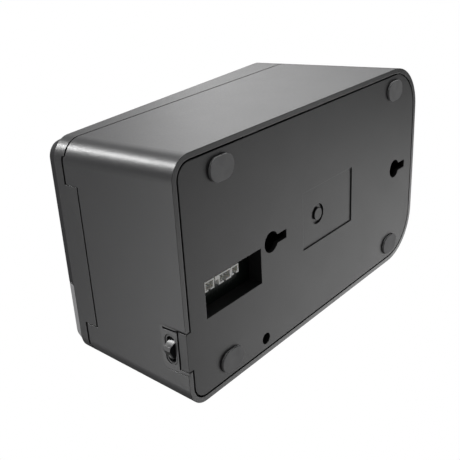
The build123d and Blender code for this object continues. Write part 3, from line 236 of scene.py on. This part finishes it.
def rubber(name, dark, light, rough=0.8, grain=RUBBER_GRAIN):
    """Dull rubber with a fine cell grain and patches of dust."""
    m = Shader(name)
    cell = m.noise(CELL_SCALE, roughness=0.7)
    dust = m.noise(DUST_SCALE, detail=4)
    m.set(color=m.blend(m.spread(dust, 0, 1, 0.35, 0.75), dark, light))
    m.set(rough=m.spread(cell, rough - 0.08, rough + 0.08), specular=0.35)
    m.bump(cell, grain, RUBBER_EDGE)
    return m.material


def nylon(name, dark, light):
    """Milky, faintly mottled nylon: headers, gears, light bodies and the flat cable."""
    m = Shader(name)
    milk = m.noise(MILK_SCALE)
    m.set(color=m.blend(m.spread(milk, 0, 1), dark, light))
    m.set(rough=m.spread(m.noise(SHEEN_SCALE), 0.32, 0.48), ior=NYLON_IOR)
    m.shader.inputs["Subsurface Weight"].default_value = NYLON_SCATTER_SHARE
    m.shader.inputs["Subsurface Radius"].default_value = NYLON_SCATTER
    m.shader.inputs["Subsurface Scale"].default_value = 1.0
    m.bump(milk, NYLON_GRAIN, NYLON_EDGE)
    return m.material


def board(name):
    """Solder mask with faint copper pours and tracks under it, near black: partly the mask's own dark
    green and partly painted shade of the deep bay it sits in.
    """
    m = Shader(name)
    cells = m.node("ShaderNodeTexBrick")
    cells.inputs["Scale"].default_value = POUR_SCALE
    cells.inputs["Mortar Size"].default_value = TRACK_WIDTH
    # near-black tones: dark green mask with painted shade of the bay folded into the colour
    cells.inputs["Color1"].default_value = (0.004, 0.010, 0.007, 1)
    cells.inputs["Color2"].default_value = (0.005, 0.013, 0.009, 1)
    cells.inputs["Mortar"].default_value = (0.003, 0.007, 0.005, 1)
    m.link(m.place.outputs["Object"], cells.inputs["Vector"])
    blotch = m.noise(MASK_SCALE)
    # the blotch tone is kept near black too, with the same painted shade of the bay
    m.set(color=m.blend(m.spread(blotch, 0, 0.5), cells.outputs["Color"], (0.004, 0.009, 0.006)))
    m.set(rough=m.spread(m.noise(MASK_GLOSS_SCALE), 0.28, 0.42))
    m.bump(cells.outputs["Fac"], BOARD_GRAIN)
    return m.material


def clear_lens(name):
    """Light pipe plastic, clear with a light haze."""
    m = Shader(name)
    haze = m.noise(HAZE_SCALE)
    m.set(color=m.blend(m.spread(haze, 0, 1), (0.75, 0.82, 0.78), (0.88, 0.92, 0.9)))
    m.set(rough=m.spread(haze, 0.12, 0.3), clear=LENS_CLEAR, ior=LENS_IOR)
    m.bump(haze, LENS_GRAIN)
    return m.material


def mark_white(name):
    """White pad-printed ink, slightly worn."""
    m = Shader(name)
    worn = m.noise(INK_SCALE)
    m.set(color=m.blend(m.spread(worn, 0, 1), (0.72, 0.72, 0.70), (0.86, 0.86, 0.84)))
    m.set(rough=m.spread(m.noise(INK_GLOSS_SCALE), 0.4, 0.55))
    m.bump(worn, INK_GRAIN)
    return m.material


# ---- one material for every slot of the record ----
def moulded_materials():
    """Plastic parts, and the ceramic strip, which takes the same build with a finer grain."""
    gloss_black = ((0.012, 0.012, 0.013), (0.017, 0.017, 0.018))
    return {
        "housing_black": moulded("housing_black", (0.020, 0.020, 0.021), (0.028, 0.028, 0.029), 0.40),
        "plate_black": moulded("plate_black", (0.019, 0.019, 0.020), (0.027, 0.027, 0.028), 0.5),
        "deck_gloss": moulded("deck_gloss", *gloss_black, 0.42, grain=0.000008, gloss=0.2),
        "trim_silver": moulded("trim_silver", (0.19, 0.19, 0.194), (0.23, 0.23, 0.234), 0.45,
                               grain=0.00001, worn=(0.3, 0.3, 0.3), gloss=0.3),
        "panel_gloss": moulded("panel_gloss", *gloss_black, 0.22, grain=0.000006),
        "button_grey": moulded("button_grey", (0.20, 0.20, 0.21), (0.25, 0.25, 0.26), 0.4,
                               grain=0.00001),
        "switch_black": moulded("switch_black", (0.018, 0.018, 0.019), (0.026, 0.026, 0.027), 0.34,
                                grain=0.00001),
        "head_ceramic": moulded("head_ceramic", (0.30, 0.26, 0.20), (0.36, 0.31, 0.24), 0.14,
                                grain=0.000004),
        "bucket_plastic": moulded("bucket_plastic", (0.022, 0.022, 0.023), (0.03, 0.03, 0.031), 0.42),
    }


def other_materials():
    """Rubber, nylon, metal, the boards and the light pipes."""
    return {
        "foot_rubber": rubber("foot_rubber", (0.27, 0.27, 0.274), (0.33, 0.33, 0.334)),
        "platen_rubber": rubber("platen_rubber", (0.016, 0.016, 0.016), (0.026, 0.026, 0.026), 0.6,
                                grain=0.00003),
        "lens_clear": clear_lens("lens_clear"),
        "board_green": board("board_green"),
        "led_body": nylon("led_body", (0.70, 0.70, 0.60), (0.82, 0.82, 0.72)),
        "header_nylon": nylon("header_nylon", (0.86, 0.86, 0.83), (0.94, 0.94, 0.91)),
        "gear_nylon": nylon("gear_nylon", (0.62, 0.61, 0.56), (0.72, 0.71, 0.66)),
        "ribbon_white": nylon("ribbon_white", (0.60, 0.60, 0.57), (0.70, 0.70, 0.67)),
        "steel": metal("steel", (0.42, 0.42, 0.43), (0.52, 0.52, 0.53), 0.32, (1, 6, 1)),
        "screw_steel": metal("screw_steel", (0.36, 0.36, 0.37), (0.46, 0.46, 0.47), 0.36),
        "bush_brass": metal("bush_brass", (0.42, 0.31, 0.14), (0.52, 0.39, 0.19), 0.4),
        "head_aluminium": metal("head_aluminium", (0.58, 0.58, 0.59), (0.68, 0.68, 0.69), 0.3, (8, 1, 1)),
        "can_aluminium": metal("can_aluminium", (0.40, 0.40, 0.42), (0.50, 0.50, 0.52), 0.3),
    }


def dress_nodes(materials):
    """Gives every CAD node the material of its slot."""
    for entry in RECORD["subparts"]:
        mesh = NODES[entry["node"]].data
        mesh.materials.clear()
        mesh.materials.append(materials[entry["material_slot"]])


# ---- the bar on the power rocker, in millimetres and degrees ----
ROCKER_PIVOT = (27.5, 91.0, 10.0)
ROCKER_TILT = 14.0
BAR_FACE = ((0.9, 6.3), (5.2, 2.7))     # ridge and end of the raised half, about the pivot, rocker level
BAR_AT = 0.68                           # middle of the bar between them
BAR_SIZE = (1.8, 0.36, 0.06)
BAR_CORNERS = 24
BAR_SUNK = 0.4                          # share of the bar's thickness set into the face


def add_rocker_bar():
    """Plain bar with round ends, printed on the raised half of the rocker."""
    long, wide, thick = BAR_SIZE
    mesh = bmesh.new()
    ring = []
    for step in range(BAR_CORNERS):
        turn = 2 * math.pi * step / BAR_CORNERS
        shift = (long - wide) / 2 * (1 if math.cos(turn) > 0 else -1)
        ring.append(mesh.verts.new((wide / 2 * math.cos(turn) + shift, 0, wide / 2 * math.sin(turn))))
    face = mesh.faces.new(ring)
    grown = bmesh.ops.extrude_face_region(mesh, geom=[face])
    raised = [item for item in grown["geom"] if isinstance(item, bmesh.types.BMVert)]
    bmesh.ops.translate(mesh, verts=raised, vec=(0, thick, 0))
    bmesh.ops.recalc_face_normals(mesh, faces=mesh.faces)
    data = bpy.data.meshes.new("rocker_bar")
    (x0, y0), (x1, y1) = BAR_FACE
    tilt = math.radians(ROCKER_TILT)
    lean = Matrix.Rotation(tilt + math.atan2(y1 - y0, x1 - x0), 4, "Z")
    along_face = Vector((x0 + (x1 - x0) * BAR_AT, y0 + (y1 - y0) * BAR_AT, 0))
    middle = Matrix.Rotation(tilt, 3, "Z") @ along_face
    place = Matrix.Translation((Vector(ROCKER_PIVOT) + middle) * MM) @ lean @ Matrix.Scale(MM, 4)
    mesh.transform(place @ Matrix.Translation((0, -thick * BAR_SUNK, 0)))
    mesh.to_mesh(data)
    mesh.free()
    bar = bpy.data.objects.new("rocker_bar", data)
    bpy.context.scene.collection.objects.link(bar)
    data.materials.append(mark_white("mark_white"))
    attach(bar, "rocker")


# ---- stage, lights and camera, in metres, degrees and watts ----
FLOOR_SIZE = 3.0
FLOOR_DROP = 0.0002
FLOOR_GLOW = 0.55
FLOOR_ROUGH = 0.8
FLOOR_TONES = (0.40, 0.43)
FLOOR_SCALE = 6
AMBIENT = 0.14                          # world light on the part; the camera sees plain white
LIGHTS = (                              # name, place, aim, (length, width), power
    ("side_box", (-0.50, -0.55, 0.52), (0, 0, 0.05), (0.7, 0.5), 2.5),
    ("side_fill", (-0.85, -0.05, 0.15), (0, 0, 0.05), (0.8, 0.4), 7.0),
    ("corner_strip", (-0.46, 0.30, 0.52), (-0.05, 0.09, 0.05), (0.035, 0.30), 5.2),
    ("rear_box", (0.30, 0.80, 0.35), (0, 0.09, 0.05), (0.6, 0.4), 3.3),
    ("low_box", (0.55, -0.75, -0.42), (0, 0, 0.02), (0.7, 0.5), 3.3),
    ("top_box", (0.45, -0.78, 0.70), (0, 0, 0.08), (0.8, 0.6), 4.0),
)
CAMERA_PLACE = (-0.1333, 0.2667, -0.1720)
CAMERA_TARGET = (0.0046, 0.0299, 0.0311)
CAMERA_ROLL = 74.16
CAMERA_LENS = 57.3                      # in millimetres, as is the sensor
SENSOR_WIDTH = 36.0
CLIP_START = 0.01


def aim_at(place, target):
    """Turn that points an object's -Z from place to target."""
    return (Vector(target) - Vector(place)).to_track_quat("-Z", "Y")


def add_floor():
    """Pale glowing floor, seen from above only, with no shadow, bounce or reflection on the part."""
    bpy.ops.mesh.primitive_plane_add(size=FLOOR_SIZE, location=(0, 0, -FLOOR_DROP))
    floor = bpy.context.object
    floor.name = "floor"
    material = bpy.data.materials.new("floor")
    material.use_nodes = True
    tree = material.node_tree
    shader = tree.nodes["Principled BSDF"]
    shader.inputs["Roughness"].default_value = FLOOR_ROUGH
    shader.inputs["Emission Color"].default_value = (1.0, 1.0, 1.0, 1.0)
    shader.inputs["Emission Strength"].default_value = FLOOR_GLOW
    noise = tree.nodes.new("ShaderNodeTexNoise")
    noise.inputs["Scale"].default_value = FLOOR_SCALE
    ramp = tree.nodes.new("ShaderNodeMapRange")
    ramp.inputs["To Min"].default_value, ramp.inputs["To Max"].default_value = FLOOR_TONES
    tree.links.new(noise.outputs["Fac"], ramp.inputs["Value"])
    tree.links.new(ramp.outputs["Result"], shader.inputs["Base Color"])
    geometry = tree.nodes.new("ShaderNodeNewGeometry")
    clear = tree.nodes.new("ShaderNodeBsdfTransparent")
    mix = tree.nodes.new("ShaderNodeMixShader")
    tree.links.new(geometry.outputs["Backfacing"], mix.inputs["Fac"])
    tree.links.new(shader.outputs["BSDF"], mix.inputs[1])
    tree.links.new(clear.outputs["BSDF"], mix.inputs[2])
    tree.links.new(mix.outputs["Shader"], tree.nodes["Material Output"].inputs["Surface"])
    floor.data.materials.append(material)
    floor.visible_shadow = False
    floor.visible_diffuse = False
    floor.visible_glossy = False


def add_world():
    """White backdrop for the camera, dim white light for everything else."""
    world = bpy.data.worlds.new("studio")
    world.use_nodes = True
    tree = world.node_tree
    background = tree.nodes["Background"]
    background.inputs["Color"].default_value = (1.0, 1.0, 1.0, 1.0)
    path = tree.nodes.new("ShaderNodeLightPath")
    strength = tree.nodes.new("ShaderNodeMapRange")
    strength.inputs["To Min"].default_value = AMBIENT
    strength.inputs["To Max"].default_value = 1.0
    tree.links.new(path.outputs["Is Camera Ray"], strength.inputs["Value"])
    tree.links.new(strength.outputs["Result"], background.inputs["Strength"])
    bpy.context.scene.world = world


def add_area(name, place, target, size, power):
    light = bpy.data.lights.new(name, "AREA")
    light.shape = "RECTANGLE"
    light.size, light.size_y = size
    light.energy = power
    made = bpy.data.objects.new(name, light)
    made.location = place
    made.rotation_euler = aim_at(place, target).to_euler()
    bpy.context.scene.collection.objects.link(made)


def add_camera():
    """The camera fitted to the photograph: from below, behind and the left, rolled on its side."""
    data = bpy.data.cameras.new("camera")
    data.lens = CAMERA_LENS
    data.sensor_width = SENSOR_WIDTH
    data.clip_start = CLIP_START
    camera = bpy.data.objects.new("camera", data)
    aim = aim_at(CAMERA_PLACE, CAMERA_TARGET).to_matrix()
    roll = Matrix.Rotation(math.radians(-CAMERA_ROLL), 3, "Z")
    camera.matrix_world = Matrix.Translation(CAMERA_PLACE) @ (aim @ roll).to_4x4()
    bpy.context.scene.collection.objects.link(camera)
    bpy.context.scene.camera = camera


dress_nodes({**moulded_materials(), **other_materials()})
add_rocker_bar()
add_floor()
add_world()
for entry in LIGHTS:
    add_area(*entry)
add_camera()
bpy.context.scene.view_settings.view_transform = "Standard"
